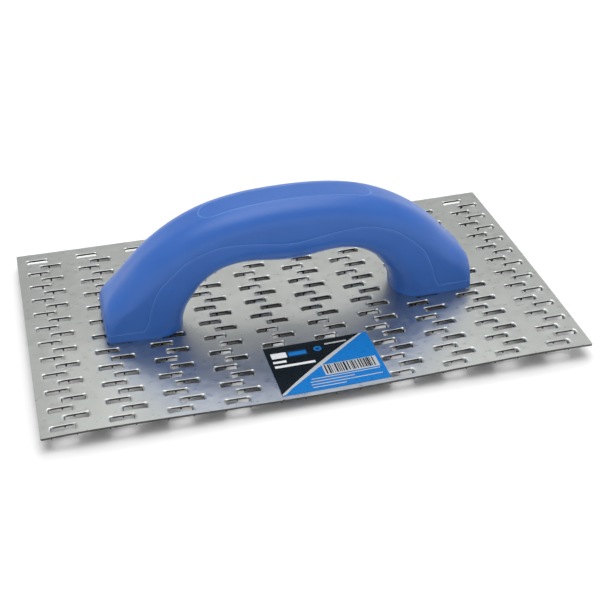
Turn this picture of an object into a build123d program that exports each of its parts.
"""Render scratching float: a punched nail plate sole under a hollow two-part bridge handle.

The origin is under the middle of the sole, level with the tips of the teeth.
X runs along the length, Y across the width and Z up.
"""

from build123d import *
import os

os.makedirs("parts", exist_ok=True)

# Sole: a 10 x 6 inch sheet with slots on a 1 inch by 1/4 inch pitch
inch = 25.4
plate_length = 10 * inch
plate_width = 6 * inch
plate_thickness = 1.0
plate_corner_radius = 2.0
tooth_length = 4.2
column_count = 10
column_pitch = inch
row_count = 23
row_pitch = inch / 4
row_shift = -1.5
column_shift = 0.7
stagger = 3.24
slot_length = 12.2
slot_width = 3.1
bend_radius = 0.2
tooth_shoulder = 1.6
tooth_tip_width = 0.7

plate_bottom = tooth_length
plate_top = plate_bottom + plate_thickness

# Handle: half outlines in the XZ plane, heights measured from the top of the sole
handle_width = 31.4
foot_end_x = 90.6
arch_height = 61.9
arch_shoulder = (45.0, 54.4)
arch_knee = (88.4, 20.9)
knee_drop = 6.0
knee_radius = 6.0
leg_inner_x = 53.0
window_corner = (42.4, 24.7)
finger_hump = (24.0, 32.4)
grip_underside = 30.0
handle_edge_radius = 9.5
wall = 2.8

# Seam between the two halves of the handle
seam_band = 5.5
seam_band_end_x = 73.0
seam_middle_height = 43.0
seam_points = [(69.2, 17.0), (61.0, 31.8), (46.0, 42.9), (29.0, 46.2)]

# Screws: 3.5 mm pan heads, in the plain lanes between the slots
screw_lane_x = 3 * column_pitch
screw_y = row_pitch
screw_diameter = 3.5
screw_reach = 17.0
screw_point = 3.0
head_diameter = 6.8
head_height = 2.6
head_edge_height = 1.4
recess_length = 4.4
recess_width = 1.0
recess_depth = 1.5
clearance_hole = 4.2
boss_diameter = 8.0
boss_height = 27.5
web_thickness = 2.0
web_spacing = 24.0
web_count = 3

# Label on the sole in front of the handle
label_length = 50.6
label_width = 37.6
label_thickness = 0.15
label_centre = (4.3, -54.6)
label_turn = 0.6

screw_centres = [
    (side * screw_lane_x + column_shift, end * screw_y)
    for side in (-1, 1)
    for end in (-1, 1)
]


def slot_centres():
    """Two staggered slots per column group: one on the even rows, one on the odd rows."""
    centres = []
    for column in range(column_count):
        group_x = (column - (column_count - 1) / 2) * column_pitch + column_shift
        for row in range(row_count):
            shift = -stagger if row % 2 == 0 else stagger
            row_y = ((row_count - 1) / 2 - row) * row_pitch + row_shift
            centres.append((group_x + shift, row_y))
    return centres


def export(builder, name):
    """Label one finished piece and write it to its own file."""
    builder.part.label = name
    export_step(builder.part, f"parts/{name}.step")


# One pointed tooth, bent down from the right-hand end of a slot centred on the origin
slot_end = slot_length / 2
outer_bend = bend_radius + plate_thickness
bend_centre_z = plate_bottom - bend_radius

with BuildPart() as right_tooth:
    with BuildSketch(Plane.XZ):
        with BuildLine():
            l1 = CenterArc((slot_end, bend_centre_z), outer_bend, 90, 90)
            l2 = Line(l1 @ 1, (slot_end - outer_bend, 0))
            l3 = Line(l2 @ 1, (slot_end - bend_radius, 0))
            l4 = Line(l3 @ 1, (slot_end - bend_radius, bend_centre_z))
            l5 = CenterArc((slot_end, bend_centre_z), bend_radius, 180, -90)
            l6 = Line(l5 @ 1, l1 @ 0)
        make_face()
    extrude(amount=slot_width / 2, both=True)
    # Taper the blade to a narrow point
    with BuildSketch(Plane.YZ):
        with BuildLine():
            Polyline(
                (-tooth_tip_width / 2, 0),
                (tooth_tip_width / 2, 0),
                (slot_width / 2, plate_bottom - tooth_shoulder),
                (slot_width / 2, plate_top),
                (-slot_width / 2, plate_top),
                (-slot_width / 2, plate_bottom - tooth_shoulder),
                close=True,
            )
        make_face()
    extrude(amount=slot_length, mode=Mode.INTERSECT)

with BuildPart() as tooth_pair:
    add(right_tooth.part)
    mirror(about=Plane.YZ)

# The sole: sheet, slots and screw holes, then the teeth
with BuildPart() as sole_plate:
    with BuildSketch(Plane.XY.offset(plate_bottom)):
        RectangleRounded(plate_length, plate_width, plate_corner_radius)
        with Locations(*slot_centres()):
            Rectangle(slot_length, slot_width, mode=Mode.SUBTRACT)
        with Locations(*screw_centres):
            Circle(clearance_hole / 2, mode=Mode.SUBTRACT)
    extrude(amount=plate_thickness)
    with Locations(*slot_centres()):
        add(tooth_pair.part)
export(sole_plate, "sole_plate")

# Handle: the whole body as one shape, from which both halves are cut
handle_side = Plane(origin=(0, handle_width / 2, plate_top), x_dir=(1, 0, 0), z_dir=(0, -1, 0))


def mirrored(points):
    """The same points on the other side of the middle, in reverse order."""
    return [(-x, z) for x, z in reversed(points)]


# Side outline: the arch, cut off square at the ends, with the hand opening taken out
with BuildSketch(handle_side) as handle_outline:
    with BuildLine():
        crown = TangentArc((0, arch_height), arch_shoulder, tangent=(1, 0))
        flank = TangentArc(crown @ 1, arch_knee, tangent=crown % 1)
        Polyline(flank @ 1, (foot_end_x, arch_knee[1] - knee_drop), (foot_end_x, 0), (0, 0))
        mirror(about=Plane.YZ)
    make_face()
    knees = handle_outline.vertices().filter_by_position(Axis.Y, 1, arch_knee[1])
    fillet(knees, knee_radius)
    with BuildLine():
        leg = TangentArc((leg_inner_x, 0), window_corner, tangent=(0, 1))
        corner = TangentArc(leg @ 1, finger_hump, tangent=leg % 1)
        hump_end = (finger_hump[0] / 2, (finger_hump[1] + grip_underside) / 2)
        hump = TangentArc(corner @ 1, hump_end, tangent=(-1, 0))
        TangentArc(hump @ 1, (0, grip_underside), tangent=hump % 1)
        mirror(about=Plane.YZ)
        Line((-leg_inner_x, 0), (leg_inner_x, 0))
    make_face(mode=Mode.SUBTRACT)

with BuildPart() as handle_body:
    extrude(handle_outline.sketch, amount=handle_width)
    side_edges = handle_body.edges().filter_by(GeomType.CIRCLE)
    fillet(side_edges, handle_edge_radius)

# The hollow inside both halves: a deep middle and shallower sides, to clear the rounded edges
with BuildPart() as handle_hollow:
    for inset, side_inset in ((wall, 1.5 * wall), (1.5 * wall, wall)):
        with BuildSketch(handle_side.offset(side_inset)):
            add(handle_outline.sketch_local)
            offset(amount=-inset, kind=Kind.ARC)
        extrude(amount=handle_width - 2 * side_inset)

# Everything below the seam: the band round the feet and the border of the hand opening
with BuildPart() as below_seam:
    with BuildSketch(handle_side):
        with BuildLine():
            seam = Spline(
                (seam_band_end_x, seam_band),
                *seam_points,
                (0, seam_middle_height),
                *mirrored(seam_points),
                (-seam_band_end_x, seam_band),
            )
            Polyline(
                seam @ 1,
                (-plate_length / 2, seam_band),
                (-plate_length / 2, 0),
                (plate_length / 2, 0),
                (plate_length / 2, seam_band),
                seam @ 0,
            )
        make_face()
    extrude(amount=handle_width)

# Lower half: foot floors with screw holes, inner legs and the underside of the grip
with BuildPart() as handle_lower_shell:
    add(handle_body.part)
    add(below_seam.part, mode=Mode.INTERSECT)
    add(handle_hollow.part, mode=Mode.SUBTRACT)
    with BuildSketch(Plane.XY.offset(plate_top)):
        with Locations(*screw_centres):
            Circle(clearance_hole / 2)
    extrude(amount=wall, mode=Mode.SUBTRACT)

# Upper half: the arch and the ends, with cross webs under the grip and the screw bosses
with BuildPart() as webbed_hollow:
    add(handle_hollow.part)
    with BuildSketch(Plane.XY.offset(plate_top)):
        with GridLocations(web_spacing, 0, web_count, 1):
            Rectangle(web_thickness, handle_width)
    extrude(amount=arch_height, mode=Mode.SUBTRACT)

with BuildPart() as handle_upper_shell:
    add(handle_body.part)
    add(webbed_hollow.part, mode=Mode.SUBTRACT)
    add(below_seam.part, mode=Mode.SUBTRACT)
    with BuildSketch(Plane.XY.offset(plate_top + wall)):
        with Locations(*screw_centres):
            Circle(boss_diameter / 2)
            Circle(screw_diameter / 2, mode=Mode.SUBTRACT)
    extrude(amount=boss_height)

export(handle_lower_shell, "handle_lower_shell")
export(handle_upper_shell, "handle_upper_shell")

# Pan head self-tapping screws, driven up from the toothed side
for number, (screw_x, screw_offset) in enumerate(screw_centres, start=1):
    seat = Plane(origin=(screw_x, screw_offset, plate_bottom), x_dir=(1, 0, 0), z_dir=(0, -1, 0))
    with BuildPart() as plate_screw:
        with BuildSketch(seat):
            with BuildLine():
                shank = Polyline(
                    (0, screw_reach),
                    (screw_diameter / 2, screw_reach - screw_point),
                    (screw_diameter / 2, 0),
                    (head_diameter / 2, 0),
                    (head_diameter / 2, -head_edge_height),
                )
                crown = ThreePointArc(
                    shank @ 1,
                    (head_diameter / 4, (-head_edge_height - 3 * head_height) / 4),
                    (0, -head_height),
                )
                Line(crown @ 1, shank @ 0)
            make_face()
        revolve(axis=Axis((screw_x, screw_offset, 0), (0, 0, 1)))
        # Cross recess for the driver
        with BuildSketch(Plane.XY.offset(plate_bottom - head_height)):
            with Locations((screw_x, screw_offset)):
                Rectangle(recess_length, recess_width)
                Rectangle(recess_width, recess_length)
        extrude(amount=recess_depth, mode=Mode.SUBTRACT)
    export(plate_screw, f"plate_screw_{number}")

# Self-adhesive label, stuck down slightly askew
with BuildPart() as product_label:
    with BuildSketch(Plane.XY.offset(plate_top)):
        with Locations(Location(label_centre, label_turn)):
            Rectangle(label_length, label_width)
    extrude(amount=label_thickness)
export(product_label, "product_label")
